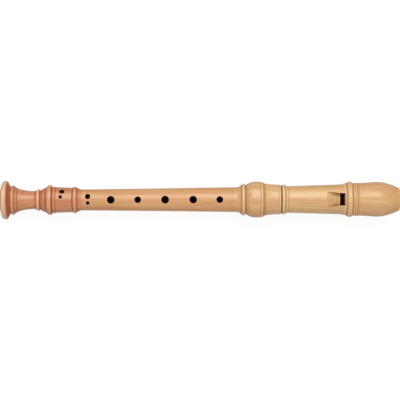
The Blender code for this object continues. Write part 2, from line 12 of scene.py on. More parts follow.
import bmesh
import bpy
import numpy as np
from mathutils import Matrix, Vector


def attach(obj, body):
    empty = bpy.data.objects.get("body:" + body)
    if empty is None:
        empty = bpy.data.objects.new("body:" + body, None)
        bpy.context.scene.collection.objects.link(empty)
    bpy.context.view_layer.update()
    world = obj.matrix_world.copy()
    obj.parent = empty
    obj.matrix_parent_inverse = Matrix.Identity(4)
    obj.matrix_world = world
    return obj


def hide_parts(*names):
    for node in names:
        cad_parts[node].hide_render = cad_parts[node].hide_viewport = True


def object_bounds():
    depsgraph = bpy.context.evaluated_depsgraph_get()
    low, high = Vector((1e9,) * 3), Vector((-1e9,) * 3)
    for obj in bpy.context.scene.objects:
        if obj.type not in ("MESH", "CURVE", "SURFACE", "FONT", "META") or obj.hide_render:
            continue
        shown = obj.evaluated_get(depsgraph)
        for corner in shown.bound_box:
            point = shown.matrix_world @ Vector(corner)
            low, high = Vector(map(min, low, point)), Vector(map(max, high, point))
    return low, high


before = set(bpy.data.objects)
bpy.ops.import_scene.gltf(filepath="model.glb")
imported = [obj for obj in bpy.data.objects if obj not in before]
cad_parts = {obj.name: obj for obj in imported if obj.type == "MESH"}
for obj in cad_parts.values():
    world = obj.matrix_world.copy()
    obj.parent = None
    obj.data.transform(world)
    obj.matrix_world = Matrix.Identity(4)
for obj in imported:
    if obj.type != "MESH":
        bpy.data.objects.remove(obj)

FIRST_BOX = [list(corner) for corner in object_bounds()]
print("nodes", sorted(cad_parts))
print("box in mm", [[round(v * 1000, 2) for v in corner] for corner in FIRST_BOX])

# %% [markdown]
# ## Places along the instrument
#
# A turner works from one end and measures along the bed of the lathe. All places below are
# millimetres from the bell's end, and diameters are millimetres too. The box of the frame says
# where the bell's end is, and how high the axis runs above the table.

# %% The axis and the scale
MM = 0.001
BELL_END = FIRST_BOX[0][0]
LENGTH = (FIRST_BOX[1][0] - BELL_END) / MM
AXIS = (FIRST_BOX[0][2] + FIRST_BOX[1][2]) / 2
WIDEST = (FIRST_BOX[1][1] - FIRST_BOX[0][1]) / MM - 0.01
SIDES = 144
print(f"length {LENGTH:.2f} mm, axis {AXIS / MM:.2f} mm above the table, widest {WIDEST:.2f} mm")

# %% [markdown]
# ## Drawing an outline
#
# Every bead, groove and swelling of a recorder is cut by one gouge or skew against the spinning
# wood, so one line drawn along the axis says the whole shape. The class below draws it in a
# turner's words: a bead, a step, a straight run. Fine steps make the curves smooth.

# %% The turner's line
FINE = 0.3
COARSE = 1.0


class Line:
    """The edge of a turned piece, drawn from the bell towards the beak."""

    def __init__(self, place, diameter):
        self.points = [(place, diameter / 2)]

    def step(self, diameter):
        """A face square to the axis."""
        self.points.append((self.points[-1][0], diameter / 2))

    def drawn(self, length, diameter, shape, pace=FINE):
        """A stretch whose shape gives the shares of length and radius covered."""
        x, start = self.points[-1]
        count = max(6, math.ceil(abs(length) / pace))
        for share in np.linspace(0, 1, count + 1)[1:]:
            along, rise = shape(float(share))
            self.points.append((x + length * along, start + (diameter / 2 - start) * rise))

    def straight(self, length, diameter, pace=COARSE):
        self.drawn(length, diameter, lambda t: (t, t), pace)

    def ess(self, length, diameter):
        self.drawn(length, diameter, lambda t: (t, (1 - math.cos(t * math.pi)) / 2))

    def settle(self, length, diameter, power):
        """A curve that starts steep and ends along the axis."""
        self.drawn(length, diameter, lambda t: (t, 1 - (1 - t) ** power))

    def leave(self, length, diameter, power):
        """A curve that starts along the axis and ends steep."""
        self.drawn(length, diameter, lambda t: (t, t**power))

    def bead(self, length, height, diameter):
        """A half-round bead on the line from here to the new diameter."""
        x, start = self.points[-1]
        count = max(10, math.ceil(length / FINE * 1.3))
        for angle in np.linspace(0, math.pi, count + 1)[1:]:
            along = (1 - math.cos(angle)) / 2
            base = start + (diameter / 2 - start) * along
            self.points.append((x + length * along, base + height * math.sin(angle)))


print("a line can be drawn in", [word for word in vars(Line) if not word.startswith("_")])

# %% [markdown]
# ## Easing the corners
#
# No corner on a finished instrument is sharp: sanding takes a fraction of a millimetre off each
# one, and that thin round is what catches the light. The same walk round the outline also measures
# how deep each point lies between its neighbours, so that the finish can darken grooves, with oil
# and painted shade, and brighten the crests, with wear and a painted highlight.

# %% Eased corners, and how hollow each point lies
EASE = 0.16
REACH = 0.8
REAL_CORNER = math.radians(28)


def eased(points, ease=EASE):
    """The closed outline with every real corner replaced by a small round."""
    pairs = zip(points, [points[-1]] + points)
    corners = np.array([point for point, last in pairs if point != last])
    rounded = []
    for here, before, after in zip(corners, np.roll(corners, 1, 0), np.roll(corners, -1, 0)):
        back = before - here
        on = after - here
        near, far = np.hypot(*back), np.hypot(*on)
        straightness = -(back @ on) / (near * far)
        if straightness > math.cos(REAL_CORNER) or here[1] < 1e-6:
            rounded.append(here)
            continue
        start = here + back * min(ease / near, 0.45)
        end = here + on * min(ease / far, 0.45)
        for t in (0.0, 0.33, 0.67, 1.0):
            rounded.append(start * (1 - t) ** 2 + here * 2 * t * (1 - t) + end * t**2)
    return np.array(rounded)


def hollowness(points):
    """For each point, how far the outline a little way off on both sides stands above it."""
    closed = np.vstack([points, points[:1]])
    places = np.concatenate([[0], np.cumsum(np.hypot(*np.diff(closed, axis=0).T))])
    whole = places[-1]

    def at(distance):
        distance = np.mod(distance, whole)
        return np.stack([np.interp(distance, places, closed[:, i]) for i in (0, 1)], 1)

    here = places[:-1]
    before, after = at(here - REACH), at(here + REACH)
    along = after - before
    along /= np.maximum(np.hypot(*along.T), 1e-6)[:, None]
    outward = np.stack([-along[:, 1], along[:, 0]], 1)
    middle = (before + after) / 2
    return ((middle - points) * outward).sum(1) / REACH


print("a right angle gives", hollowness(np.array([(0, 0), (9, 0), (9, 9), (0, 9.0)])).round(2))

# %% [markdown]
# ## Sums with sockets
#
# Both the shapes and the finishes below are node trees. Sums are easier to read as Python than as
# calls, so a small class wraps a socket and turns + and * into Math nodes, or into Vector Math
# nodes where a vector takes part.

# %% Sockets that can be added and multiplied
def is_vector(value):
    return isinstance(value, tuple) or (isinstance(value, Wire) and value.socket.type == "VECTOR")


class Wire:
    """One output of a node, which sums can be written with."""

    def __init__(self, bench, socket):
        self.bench = bench
        self.socket = socket

    def maths(self, operation, *values):
        kind = "ShaderNodeMath"
        if any(is_vector(value) for value in values):
            kind = "ShaderNodeVectorMath"
            values = [(v, v, v) if isinstance(v, (int, float)) else v for v in values]
        return self.bench.add(kind, dict(enumerate(values)), operation=operation)

    def __add__(self, other):
        return self.maths("ADD", self, other)

    def __radd__(self, other):
        return self.maths("ADD", other, self)

    def __sub__(self, other):
        return self.maths("SUBTRACT", self, other)

    def __rsub__(self, other):
        return self.maths("SUBTRACT", other, self)

    def __mul__(self, other):
        return self.maths("MULTIPLY", self, other)

    def __truediv__(self, other):
        return self.maths("DIVIDE", self, other)

    def __pow__(self, other):
        return self.maths("POWER", self, other)

    def __neg__(self):
        return self.maths("MULTIPLY", self, -1.0)

    def of(self, operation):
        """A function of one value, such as its sine."""
        return self.maths(operation, self)

    def another(self, name):
        """Another output of the same node."""
        return Wire(self.bench, self.bench.find(self.socket.node.outputs, name))


print("sockets take + - * / and **")

# %% [markdown]
# ## Adding nodes
#
# Every other node comes from one method, which sets it up and links what is already there. The
# script then reads in the order in which the values flow.

# %% A bench to build trees on
class Bench:
    """Adds nodes to one tree."""

    def __init__(self, tree):
        self.tree = tree

    def find(self, sockets, key):
        if isinstance(key, int):
            return sockets[key]
        for socket in sockets:
            if key in (socket.identifier, socket.name) and socket.enabled:
                return socket
        raise KeyError(key)

    def add(self, kind, values=None, out=None, **settings):
        """A node from its type, what its sockets take, the output to go on with, and settings."""
        node = self.tree.nodes.new(kind)
        for name, value in settings.items():
            setattr(node, name, value)
        for key, value in (values or {}).items():
            socket = self.find(node.inputs, key)
            if isinstance(value, Wire):
                self.tree.links.new(value.socket, socket)
            else:
                socket.default_value = value
        if not node.outputs:
            return None
        if out is None:
            return Wire(self, next(socket for socket in node.outputs if socket.enabled))
        return Wire(self, self.find(node.outputs, out))

    def between(self, value, low, high, to_low=0.0, to_high=1.0):
        """A smooth step of a value from one level to another."""
        levels = {"From Min": low, "From Max": high, "To Min": to_low, "To Max": to_high}
        values = {"Value": value, **levels}
        return self.add("ShaderNodeMapRange", values, interpolation_type="SMOOTHSTEP")

    def vector(self, x, y, z):
        return self.add("ShaderNodeCombineXYZ", {"X": x, "Y": y, "Z": z})

    def parts(self, vector):
        split = self.add("ShaderNodeSeparateXYZ", {0: vector})
        return split, split.another("Y"), split.another("Z")


print("node helpers ready")

# %% [markdown]
# ## The lathe
#
# Turning is a shape that follows a rule, so Geometry Nodes can do it: a grid has one row for each
# point of the outline and one column for each side, and every grid point is moved to its place on
# the spun outline. The first and last rows and columns land on each other and are merged, which
# closes the wall all round. Where a solid piece's outline runs along the axis, only a bare edge
# is left there, which is deleted. Spinning a mesh with the Screw modifier would do the same, but
# here the number of sides stays an input of the tree.

# %% A tree that turns an outline
SHARED_INPUTS = {
    "Geometry": "NodeSocketGeometry",
    "Axis Height": "NodeSocketFloat",
    "Finish": "NodeSocketMaterial",
}


def new_tree(name, inputs):
    """A geometry tree with its inputs, and a bench to add nodes to it."""
    tree = bpy.data.node_groups.new(name, "GeometryNodeTree")
    tree.is_modifier = True
    sockets = {}
    for label, kind in {**SHARED_INPUTS, **inputs}.items():
        sockets[label] = tree.interface.new_socket(label, in_out="INPUT", socket_type=kind)
    tree.interface.new_socket("Geometry", in_out="OUTPUT", socket_type="NodeSocketGeometry")
    bench = Bench(tree)
    start = bench.add("NodeGroupInput")
    return tree, bench, {label: start.another(label) for label in sockets}, sockets


def sampled(bench, shape, value, index, kind="FLOAT"):
    """A value as it is at one point of a shape."""
    values = {"Geometry": shape, "Value": value, "Index": index}
    return bench.add("GeometryNodeSampleIndex", values, data_type=kind, domain="POINT")


def close_tree(bench, shape, material):
    real = bench.add("GeometryNodeRealizeInstances", {"Geometry": shape})
    done = bench.add("GeometryNodeSetMaterial", {"Geometry": real, "Material": material})
    bench.add("NodeGroupOutput", {"Geometry": done})


LATHE, bench, given, LATHE_INPUTS = new_tree("lathe", {"Sides": "NodeSocketInt"})
outline = {"Geometry": given["Geometry"]}
count = bench.add("GeometryNodeAttributeDomainSize", outline, "Point Count")
columns = given["Sides"] + 1.0
grid = bench.add("GeometryNodeMeshGrid", {"Vertices X": count + 1.0, "Vertices Y": columns})
index = bench.add("GeometryNodeInputIndex")
row = ((index + 0.5) / columns).of("FLOOR")
column = index - row * columns
turn = column / given["Sides"] * math.tau
position = bench.add("GeometryNodeInputPosition")
row = row.maths("FLOORED_MODULO", row, count)
along, radius, _ = bench.parts(sampled(bench, given["Geometry"], position, row, "FLOAT_VECTOR"))
height = radius * turn.of("COSINE") + given["Axis Height"]
place = bench.vector(along, -radius * turn.of("SINE"), height)
spun = bench.add("GeometryNodeSetPosition", {"Geometry": grid, "Position": place})
closed = bench.add("GeometryNodeMergeByDistance", {"Geometry": spun, "Distance": 0.001 * MM})
walls = bench.add("GeometryNodeInputMeshEdgeNeighbors")
bare = {"Geometry": closed, "Selection": walls.maths("LESS_THAN", walls, 0.5)}
cleared = bench.add("GeometryNodeDeleteGeometry", bare, domain="EDGE")
outward = bench.add("GeometryNodeFlipFaces", {"Mesh": cleared})
close_tree(bench, outward, given["Finish"])
print("lathe:", len(LATHE.nodes), "nodes")

# %% [markdown]
# ## The drill
#
# Finger holes are what repeats on a recorder. Each is drilled down into the bore, and its rim is
# rounded off so that a fingertip seals it. The tree puts one cutter on each hole's point and then
# bends its upper end to the surface of the tube, so that the round is equally wide all the way
# round the rim. A Bevel modifier would have to find these edges again after the cut.

# %% A peg on each hole
def shape_of(bench, thing):
    """The geometry of another object, as it lies in its own mesh."""
    kind = "GeometryNodeObjectInfo"
    return bench.add(kind, {"Object": thing}, "Geometry", transform_space="ORIGINAL")


def stored(bench, shape, name, value, kind="FLOAT"):
    """The shape with a value written onto each of its points."""
    values = {"Geometry": shape, "Name": name, "Value": value}
    return bench.add("GeometryNodeStoreNamedAttribute", values, data_type=kind, domain="POINT")


DRILL, bench, given, DRILL_INPUTS = new_tree(
    "drill", {"Holes": "NodeSocketObject", "Rounding": "NodeSocketFloat"}
)
holes = shape_of(bench, given["Holes"])
sizes = {"Vertices": 48, "Side Segments": 20, "Radius": 1.0, "Depth": 1.0}
peg = bench.add("GeometryNodeMeshCylinder", sizes, "Mesh", fill_type="NGON")
position = bench.add("GeometryNodeInputPosition")
marked = stored(bench, peg, "on_peg", position + (0.0, 0.0, 0.5), "FLOAT_VECTOR")
placed = bench.add("GeometryNodeInstanceOnPoints", {"Points": holes, "Instance": marked})
pegs = bench.add("GeometryNodeRealizeInstances", {"Geometry": placed})
print("a peg for each hole:", len(DRILL.nodes), "nodes so far")

# %% [markdown]
# ## The shape of the pegs
#
# A peg knows how far up each of its points lies, from nought at its foot to one at its head. The
# lowest third is the straight hole, the next part widens in a round, and the head stands clear of
# the tube. The sums here give each point its radius and its depth under the surface.

# %% Bend the pegs, drill, and measure from the rims
def named(bench, name, kind="FLOAT"):
    """A value that the points carry."""
    values = {"Name": name}
    return bench.add("GeometryNodeInputNamedAttribute", values, "Attribute", data_type=kind)


across_x, across_y, up = bench.parts(named(bench, "on_peg", "FLOAT_VECTOR"))
hole_radius = named(bench, "hole_radius")
tube_radius = named(bench, "tube_radius")
hole_turn = named(bench, "drill_turn")
ease = given["Rounding"]


def share(low, high):
    """How much of a stretch of the peg lies below the point, from 0 to 1."""
    return bench.add("ShaderNodeMapRange", {"Value": up, "From Min": low, "From Max": high})


round_turn = share(0.35, 0.9) * math.radians(72)
outside = share(0.9, 1.0)
inside = 1.0 - share(0.0, 0.35)
peg_radius = hole_radius + ease - ease * round_turn.of("COSINE") + outside * ease
depth = ease - ease * round_turn.of("SINE") - outside * (2 * MM) + inside * (tube_radius * 0.68)
x = peg_radius * across_x
y = peg_radius * across_y + named(bench, "aside")
surface = tube_radius + named(bench, "taper") * x
height = (surface * surface - y * y).of("SQRT") - depth
sine, cosine = hole_turn.of("SINE"), hole_turn.of("COSINE")
bent = bench.vector(
    named(bench, "place") + x,
    y * cosine + height * sine,
    height * cosine - y * sine + given["Axis Height"],
)
cutters = bench.add("GeometryNodeSetPosition", {"Geometry": pegs, "Position": bent})
meshes = {"Mesh 1": given["Geometry"], "Mesh 2": cutters}
minus = {"operation": "DIFFERENCE", "solver": "EXACT"}
drilled = bench.add("GeometryNodeMeshBoolean", meshes, "Mesh", **minus)
nearest = bench.add("GeometryNodeSampleNearest", {"Geometry": holes}, domain="POINT")
gap = sampled(bench, holes, position, nearest, "FLOAT_VECTOR") - position
distance = bench.add("ShaderNodeVectorMath", {0: gap}, "Value", operation="LENGTH")
from_rim = (distance - sampled(bench, holes, hole_radius, nearest)) * (1 / MM)
close_tree(bench, stored(bench, drilled, "from_rim", from_rim), given["Finish"])
print("drill:", len(DRILL.nodes), "nodes")

# %% [markdown]
# ## How hollow the wood lies
#
# After all cuts, every point of a piece looks up the nearest point of its outline and takes over
# how hollow the outline is there. The finish reads this value as an attribute for its painted
# shade in the grooves and painted highlights on the crests, so the dark of a groove stays in its
# groove at any size of the piece.

# %% A tree that writes the hollows onto a piece
# The hollows written here feed the painted shade in grooves and the painted highlights on crests.
HOLLOWS, bench, given, HOLLOWS_INPUTS = new_tree("hollows", {"Outline": "NodeSocketObject"})
drawn = shape_of(bench, given["Outline"])
x, y, z = bench.parts(bench.add("GeometryNodeInputPosition"))
z = z - given["Axis Height"]
from_axis = bench.vector(x, (y * y + z * z).of("SQRT"), 0.0)
values = {"Geometry": drawn, "Sample Position": from_axis}
nearest = bench.add("GeometryNodeSampleNearest", values, domain="POINT")
hollow = sampled(bench, drawn, named(bench, "hollow"), nearest)
close_tree(bench, stored(bench, given["Geometry"], "hollow", hollow), given["Finish"])
print("wear:", len(HOLLOWS.nodes), "nodes")

# %% [markdown]
# ## Outlines and holes as points
#
# The trees read an outline and a set of holes from the points of two small objects. Each point
# carries its own numbers as attributes, so one tree serves every piece.

# %% Points that carry numbers
HOLE_NUMBERS = ("place", "hole_radius", "drill_turn", "aside", "tube_radius", "taper")


def plain_object(name, mesh):
    thing = bpy.data.objects.new(name, mesh)
    bpy.context.scene.collection.objects.link(thing)
    return thing


def outline_object(name, line):
    """The eased outline as loose points, each of which knows how hollow it lies."""
    points = eased(line.points)
    mesh = bpy.data.meshes.new(name)
    mesh.from_pydata([(BELL_END + x * MM, r * MM, 0.0) for x, r in points], [], [])
    hollow = mesh.attributes.new("hollow", "FLOAT", "POINT")
    hollow.data.foreach_set("value", hollowness(points).astype(np.float32))
    return plain_object(name, mesh)


def holes_object(name, holes):
    """One point on the surface for each hole. A hole is its place, its diameter, the turn of its
    centre and of the drill from the front, and the tube's diameter and taper there."""
    mesh = bpy.data.meshes.new(name)
    places, rows = [], []
    for x, diameter, turn, drill_turn, tube, taper in holes:
        turn, drill_turn = math.radians(turn), math.radians(drill_turn)
        x, radius = BELL_END + x * MM, tube / 2 * MM
        places.append((x, radius * math.sin(turn), AXIS + radius * math.cos(turn)))
        aside = radius * math.sin(turn - drill_turn)
        rows.append((x, diameter / 2 * MM, drill_turn, aside, radius, taper))
    mesh.from_pydata(places, [], [])
    for label, values in zip(HOLE_NUMBERS, zip(*rows)):
        mesh.attributes.new(label, "FLOAT", "POINT").data.foreach_set("value", values)
    return plain_object(name, mesh)


print("each hole carries", HOLE_NUMBERS)

# %% [markdown]
# ## From outline to piece
#
# The helpers here put an outline on the lathe, make the cuts, and bake the result into one plain
# mesh. Corners over 35 degrees stay crisp and all else is shaded smooth.

# %% Helpers that make a piece
RIM_ROUNDING = 0.35 * MM
CRISP = math.radians(35)


def with_tree(thing, tree, sockets, material, values):
    """Adds a geometry tree, with its inputs set by their identifiers."""
    modifier = thing.modifiers.new(tree.name, "NODES")
    modifier.node_group = tree
    for label, value in {"Axis Height": AXIS, "Finish": material, **values}.items():
        modifier[sockets[label].identifier] = value


def baked(thing, name, material):
    """The piece as one plain mesh, with its modifiers applied and gone."""
    graph = bpy.context.evaluated_depsgraph_get()
    mesh = bpy.data.meshes.new_from_object(thing.evaluated_get(graph))
    thing.modifiers.clear()
    thing.data = mesh
    mesh.name = name
    mesh.materials.clear()
    mesh.materials.append(material)
    mesh.shade_smooth()
    mesh.set_sharp_from_angle(angle=CRISP)
    check = bmesh.new()
    check.from_mesh(mesh)
    open_edges = sum(1 for edge in check.edges if len(edge.link_faces) != 2)
    volume = check.calc_volume(signed=True) * 1e9
    triangles = sum(len(face.verts) - 2 for face in check.faces)
    check.free()
    print(f"{name}: {triangles} triangles, {volume:.0f} cubic mm, {open_edges} open edges")
    return thing


def turn_piece(name, line, material, holes=(), cutters=()):
    """Turns, drills and cuts one piece, and writes onto it how hollow its outline lies."""
    outline = outline_object(name + "_outline", line)
    thing = plain_object(name, outline.data)
    with_tree(thing, LATHE, LATHE_INPUTS, material, {"Sides": SIDES})
    helpers = [outline]
    if holes:
        helpers.append(holes_object(name + "_holes", holes))
        values = {"Holes": helpers[-1], "Rounding": RIM_ROUNDING}
        with_tree(thing, DRILL, DRILL_INPUTS, material, values)
    for cutter in cutters:
        cut = thing.modifiers.new(cutter.name, "BOOLEAN")
        cut.solver = "EXACT"
        cut.object = cutter
    with_tree(thing, HOLLOWS, HOLLOWS_INPUTS, material, {"Outline": outline})
    piece = baked(thing, name, material)
    for helper in helpers:
        bpy.data.objects.remove(helper, do_unlink=True)
    return piece


print(f"rims rounded by {RIM_ROUNDING / MM} mm")

# %% [markdown]
# ## Tools for finishes
#
# A finish on a real instrument is layered: wood first, then oil, then years of hands. The
# finishes here are layered the same way, by mixing one colour over another where a mask says so.
# A painted image could hold the same colours, but masks worked out from the place on the piece
# stay sharp at any distance and fit every cut.

# %% Small tools for finishes
def new_finish(name):
    material = bpy.data.materials.new(name)
    material.use_nodes = True
    material.node_tree.nodes.clear()
    return material, Bench(material.node_tree)


def noise(bench, vector, scale, detail=2.0, roughness=0.5):
    values = {"Vector": vector, "Scale": scale, "Detail": detail, "Roughness": roughness}
    return bench.add("ShaderNodeTexNoise", values)


def mixed(bench, share, low, high):
    """A colour between two others."""
    low, high = [(*c, 1.0) if isinstance(c, tuple) else c for c in (low, high)]
    values = {"Factor_Float": share, "A_Color": low, "B_Color": high}
    return bench.add("ShaderNodeMix", values, data_type="RGBA")


def read(bench, name):
    return bench.add("ShaderNodeAttribute", {}, "Fac", attribute_name=name)


def in_mm(bench):
    """The place on the piece in millimetres, with the axis at height nought."""
    place = bench.add("ShaderNodeTexCoord", {}, "Object")
    return (place + (0.0, 0.0, -AXIS)) * (1 / MM)


def band(bench, x, place, half):
    """One on a narrow ring of the instrument, nought elsewhere."""
    away = (x - (place - LENGTH / 2)).of("ABSOLUTE")
    return bench.between(away, half, half + 0.3, 1.0, 0.0)


def bumped(bench, relief, strength, height):
    """The shading of small hills, with this height in metres."""
    values = {"Strength": strength, "Distance": height, "Height": relief}
    return bench.add("ShaderNodeBump", values)


def finished(material, bench, values):
    shader = bench.add("ShaderNodeBsdfPrincipled", values)
    bench.add("ShaderNodeOutputMaterial", {"Surface": shader})
    return material


print("finish tools ready")

# %% [markdown]
# ## The grain of fruitwood
#
# Pear and its kin have a fine, even texture: faint growth rings, lengthwise fibres, warm streaks
# and tiny pores. Wood is solid all through, so its pattern is built in three dimensions, as rings
# round a pith that lies beside the instrument and slightly aslant. The turned surface then cuts
# it as a gouge does, with long flames on the tube and rings on the end faces. A flat pattern
# wrapped round the tube would meet itself in a seam and smear over the ends.

# %% Rings, fibres, streaks and pores
def grain(bench, place, pith, seed):
    """The marks of the grain. Noise is stretched along the instrument by scaling x down."""
    x, y, z = bench.parts(place)
    shifted = place + (seed * 31.0, seed * 17.0, seed * 7.0)
    drift = noise(bench, shifted * (0.010, 0.045, 0.045), 1.0, 3.0) - 0.5
    pith_y, pith_z, slant, spacing = pith
    off_y = y - pith_y + x * slant + drift * 9.0
    off_z = z - pith_z + drift * 5.0
    ring = ((off_y * off_y + off_z * off_z).of("SQRT") / spacing).of("FRACT")
    pore = noise(bench, shifted * (0.32, 4.6, 4.6), 1.0)
    return {
        "late": ring**2.6 * bench.between(ring, 0.9, 1.0, 1.0, 0.0),
        "fibre": noise(bench, shifted * (0.055, 1.9, 1.9), 1.0, 4.0, 0.6),
        "streak": noise(bench, shifted * (0.011, 0.24, 0.24), 1.0, 3.0, 0.55),
        "blush": noise(bench, (shifted + (40.0, 9.0, 3.0)) * (0.016, 0.16, 0.16), 1.0),
        "pores": bench.between(pore, 0.66, 0.74),
    }


def grained(bench, marks, tones, x, warm_end, contrast):
    """The colour of the bare wood. The warm end is where it is warmest and where that has faded
    out, both from the middle of the instrument, and how much warmer it is."""
    warmth = bench.between(marks["streak"], 0.34, 0.68)
    if warm_end:
        warmth = warmth + bench.between(x, *warm_end, 0.0)
    colour = mixed(bench, warmth, tones["pale"], tones["warm"])
    colour = mixed(bench, bench.between(marks["blush"], 0.48, 0.72) * 0.6, colour, tones["blush"])
    colour = mixed(bench, marks["late"] * contrast, colour, tones["ring"])
    colour = mixed(bench, bench.between(marks["fibre"], 0.42, 0.72) * 0.28, colour, tones["ring"])
    return mixed(bench, marks["pores"] * 0.35, colour, tones["groove"])


print("grain ready")

# %% [markdown]
# ## Wear, painted shade and highlights, lines and oil
#
# End faces drink more oil and turn darker. Grooves hold oil and stay dull, and are painted darker
# as shade; crests are rubbed pale and are painted brighter as a highlight. The hollows written
# onto each piece say where this goes, and a list of rings adds narrow lines, each by its place,
# half its width, its tone and how much of it shows: the dark ones are grooves and painted shade on
# steep faces, the pale ones painted highlights on beads and ledges. The bore is dark with oil, and
# the walls of the holes are darkened as oil and as painted shade inside them.

# %% Worn, shaded, highlighted, lined and oiled wood
def worn_shaded_and_highlit(bench, colour, tones, x, rings):
    """The colour with its wear, painted shade in the grooves, painted highlights on the crests and
    its lines, and the masks of what is dull and shaded and what is rubbed and highlit.
    """
    slope = bench.parts(bench.add("ShaderNodeTexCoord", {}, "Normal"))[0]
    end_grain = bench.between(slope.of("ABSOLUTE"), 0.22, 0.85)
    hollow = read(bench, "hollow")
    # Hollow points are painted darker as shade on top of their oil, and points that stand out are
    # painted lighter as a highlight on top of their wear.
    oil_and_shade = bench.between(hollow, 0.02, 0.26)
    crest = bench.between(-hollow, 0.03, 0.2)
    colour = mixed(bench, end_grain * 0.42, colour, tones["end"])
    colour = mixed(bench, crest * 0.42, colour, tones["crest"])
    colour = mixed(bench, oil_and_shade * 0.62, colour, tones["groove"])
    # Dark rings are grooves and painted shade on steep faces; pale rings are painted highlights.
    for spot, half, tone, amount in rings:
        line = band(bench, x, spot, half) * amount
        colour = mixed(bench, line, colour, tones[tone])
        if tone in ("groove", "deep"):
            oil_and_shade = oil_and_shade.maths("MAXIMUM", oil_and_shade, line)
    return colour, oil_and_shade, crest


def fruitwood(
    name, tones, pith, bore, seed,
    outer=None, rings=(), warm_end=None, cut_edge=None, gloss=0.9, contrast=0.34,
):
    """Oiled fruitwood. Tones are linear colours, and the pith is given by its place beside the
    axis, its slant and the width of a growth ring. Outer is given for a drilled piece: the tube's
    radius at the middle of the instrument and its growth per millimetre, which say how deep in a
    hole a point lies. The cut edge is the place of the labium, thin and pale."""
    material, bench = new_finish(name)
    place = in_mm(bench)
    x, y, z = bench.parts(place)
    marks = grain(bench, place, pith, seed)
    colour = grained(bench, marks, tones, x, warm_end, contrast)
    colour, oil_and_shade, crest = worn_shaded_and_highlit(bench, colour, tones, x, rings)

    from_axis = (y * y + z * z).of("SQRT")
    if cut_edge:
        thin = band(bench, x, cut_edge, 0.35) * bench.between(from_axis, 8.5, 10.0, 1.0, 0.0)
        colour = mixed(bench, thin * 0.8, colour, tones["cut"])
    oil_and_hole_shade = bench.between(from_axis, bore, bore + 0.06, 1.0, 0.0)
    if outer:
        from_rim = read(bench, "from_rim")
        depth = x * outer[1] + outer[0] - from_axis
        # The walls of the holes are darkened with the bore's colour, as oil and as painted shade
        # inside them.
        in_hole = bench.between(depth, 0.12, 0.6) * bench.between(from_rim, 3.0, 3.5, 1.0, 0.0)
        # The rounded rims of the holes are paler, partly rubbed and partly a painted highlight.
        rim = bench.between(from_rim, 0.05, 0.8, 1.0, 0.0)
        colour = mixed(bench, rim * 0.5, colour, tones["crest"])
        oil_and_hole_shade = oil_and_hole_shade.maths("MAXIMUM", oil_and_hole_shade, in_hole)
    colour = mixed(bench, oil_and_hole_shade * 0.95, colour, tones["bore"])

    fibre, pores = marks["fibre"], marks["pores"]
    rough = 0.65 - gloss * 0.3 + (fibre - 0.5) * 0.16 + pores * 0.18 + oil_and_shade * 0.3 - crest * 0.05
    tool_marks = noise(bench, place * (2.4, 0.02, 0.02), 1.0, 3.0, 0.6)
    relief = fibre * 0.5 + tool_marks * 0.25 - pores * 0.8 - marks["late"] * 0.12
    values = {
        "Base Color": colour,
        "Roughness": rough + oil_and_hole_shade * 0.6,
        "Normal": bumped(bench, relief, 0.35, 0.06 * MM),
        "Coat Weight": gloss - oil_and_shade.maths("MAXIMUM", oil_and_shade, oil_and_hole_shade) * gloss,
        "Coat Roughness": 0.26,
        "Coat IOR": 1.62,
    }
    return finished(material, bench, values)


print("wood ready")

# %% [markdown]
# ## The wood of the head
#
# The three joints are cut from different billets. Each gets its own tones, its own pith beside the
# axis and its own seed, because one shared wood with a tint would give all three the same figure.
# The head is straw yellow and turns warmer and darker towards the tip of the beak, which is
# painted shade where the beak falls away from the light.

# %% Yellow wood
HEAD_WOOD = fruitwood(
    "oiled_head_wood",
    {
        "pale": (0.745, 0.465, 0.19), "warm": (0.645, 0.345, 0.105),
        "blush": (0.675, 0.3, 0.105), "ring": (0.49, 0.2, 0.055),
        "end": (0.46, 0.19, 0.06), "crest": (0.855, 0.55, 0.275),
        "cut": (0.90, 0.72, 0.55), "mouth": (0.69, 0.35, 0.13),
        "groove": (0.40, 0.17, 0.035), "deep": (0.20, 0.07, 0.014),
        "bore": (0.085, 0.02, 0.012),
    },
    pith=(-34.0, -22.0, 0.035, 2.3),
    bore=6.93,
    seed=1.0,
    # The dark rings here are grooves and painted shade on the flanks of beads; the pale ones are
    # painted highlights on beads and on the ledge at the window's end.
    rings=(
        (195.6, 1.2, "mouth", 0.9), (197.3, 0.4, "groove", 0.65), (199.25, 0.45, "crest", 0.5),
        (201.0, 0.6, "groove", 0.3), (202.7, 0.4, "groove", 0.3), (213.2, 0.2, "groove", 0.8),
        (214.1, 0.4, "crest", 0.6), (215.3, 0.2, "groove", 0.8), (216.8, 0.2, "groove", 0.7),
        (228.9, 0.3, "crest", 0.5), (230.2, 0.4, "deep", 0.8), (231.8, 0.5, "crest", 0.5),
        (233.3, 0.25, "groove", 0.35), (234.4, 0.4, "crest", 0.4), (235.6, 0.15, "groove", 0.5),
        (281.9, 0.4, "crest", 0.6), (283.3, 0.35, "groove", 0.6), (285.8, 1.1, "crest", 0.2),
        (287.9, 0.3, "groove", 0.75), (289.2, 0.4, "crest", 0.3), (290.3, 0.2, "groove", 0.75),
        (291.1, 0.35, "crest", 0.6), (292.1, 0.2, "groove", 0.75),
    ),
    # The warm end paints the beak warmer and darker towards its tip, as painted shade where the
    # tip falls away from the light.
    warm_end=(163.0, 150.0, 0.8),
    cut_edge=277.3,
)
print(HEAD_WOOD.name, len(HEAD_WOOD.node_tree.nodes), "nodes")

# %% [markdown]
# ## The wood of the middle
#
# The middle is tan. Fingers keep it clean, so it is the plainest of the three, with a pale line
# where it meets the head.

